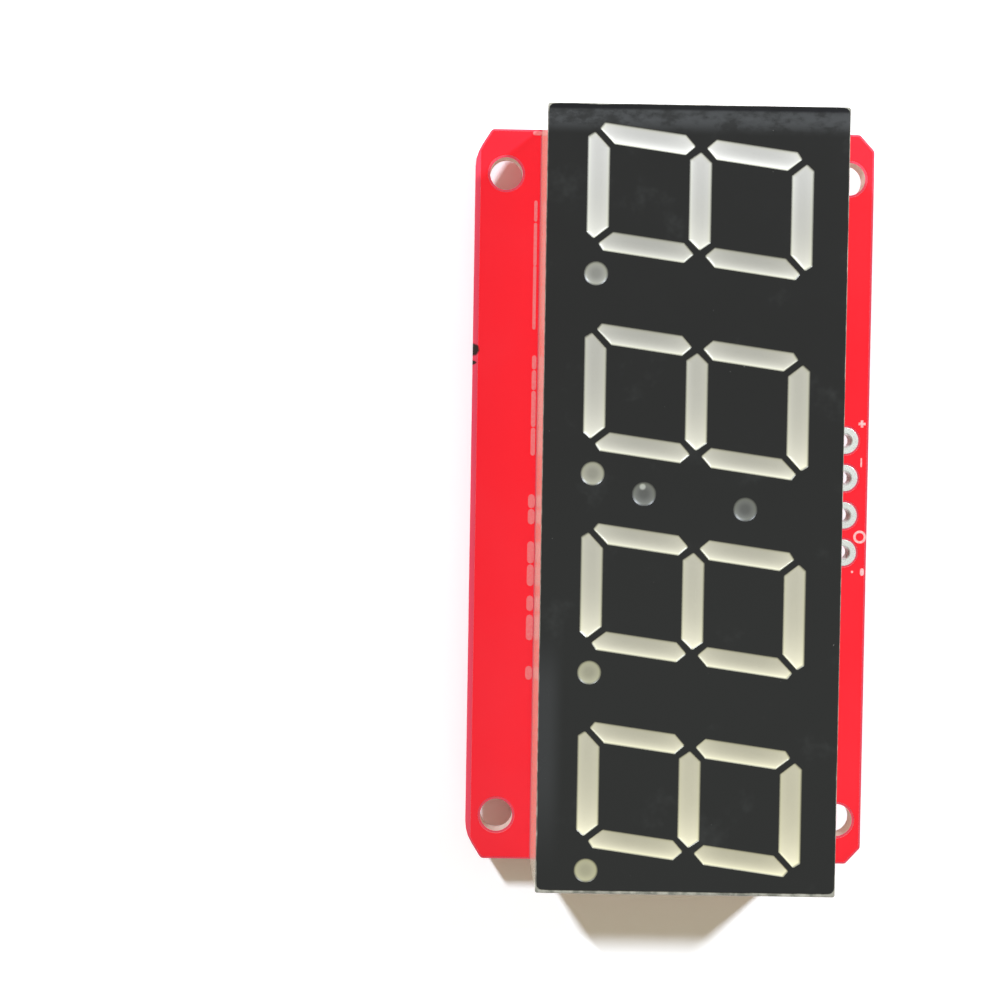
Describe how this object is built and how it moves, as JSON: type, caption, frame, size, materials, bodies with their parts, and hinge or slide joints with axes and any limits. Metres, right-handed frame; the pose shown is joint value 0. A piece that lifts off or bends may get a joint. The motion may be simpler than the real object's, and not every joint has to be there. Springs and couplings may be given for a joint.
{
  "type": "seven segment display module",
  "caption": "Clock display module with slanted seven segment digits, decimal points and a colon, soldered on a red circuit board with corner mounting holes and header holes.",
  "frame": {"origin": "centre of the four mounting holes, on the back of the circuit board", "axes": "+X along the row of digits in reading order, +Y towards the tops of the digits, +Z out of the display's face"},
  "size_m": [0.0509, 0.027, 0.0121],
  "materials": {
    "board_mask": "glossy red solder mask over laminate",
    "plated_metal": "tinned plating, slightly rough",
    "housing_plastic": "cream white moulded plastic, satin",
    "face_ink": "black printed layer, satin with faint smudges",
    "segment_resin": "milky cast resin, satin",
    "point_resin": "milky cast resin, greyer",
    "colon_resin": "milky cast resin, dark grey",
    "lamp_board_laminate": "bare laminate",
    "die_crystal": "small semiconductor dies",
    "potting_resin": "cloudy cast resin",
    "pin_metal": "tinned wire",
    "solder": "bright solder",
    "chip_plastic": "black moulded package",
    "lead_metal": "tinned leads",
    "capacitor_ceramic": "tan ceramic",
    "resistor_coat": "black coating",
    "cap_metal": "tinned end caps",
    "pad_metal": "tinned pads"
  },
  "bodies": {
    "root": {"circuit_board": "board_mask", "header_rings": "plated_metal", "display_housing": "housing_plastic", "face_layer": "face_ink", "digit_1_segment_a": "segment_resin", "digit_1_segment_b": "segment_resin", "digit_1_segment_c": "segment_resin", "digit_1_segment_d": "segment_resin", "digit_1_segment_e": "segment_resin", "digit_1_segment_f": "segment_resin", "digit_1_segment_g": "segment_resin", "digit_1_decimal_point": "point_resin", "digit_2_segment_a": "segment_resin", "digit_2_segment_b": "segment_resin", "digit_2_segment_c": "segment_resin", "digit_2_segment_d": "segment_resin", "digit_2_segment_e": "segment_resin", "digit_2_segment_f": "segment_resin", "digit_2_segment_g": "segment_resin", "digit_2_decimal_point": "point_resin", "digit_3_segment_a": "segment_resin", "digit_3_segment_b": "segment_resin", "digit_3_segment_c": "segment_resin", "digit_3_segment_d": "segment_resin", "digit_3_segment_e": "segment_resin", "digit_3_segment_f": "segment_resin", "digit_3_segment_g": "segment_resin", "digit_3_decimal_point": "point_resin", "digit_4_segment_a": "segment_resin", "digit_4_segment_b": "segment_resin", "digit_4_segment_c": "segment_resin", "digit_4_segment_d": "segment_resin", "digit_4_segment_e": "segment_resin", "digit_4_segment_f": "segment_resin", "digit_4_segment_g": "segment_resin", "digit_4_decimal_point": "point_resin", "colon_upper_dot": "colon_resin", "colon_lower_dot": "colon_resin", "lamp_board": "lamp_board_laminate", "led_dies": "die_crystal", "potting": "potting_resin", "display_pins": "pin_metal", "solder_joints": "solder", "chip_body": "chip_plastic", "chip_leads": "lead_metal", "capacitor_bodies": "capacitor_ceramic", "resistor_bodies": "resistor_coat", "end_caps": "cap_metal", "address_pads": "pad_metal"}
  },
  "joints": []
}
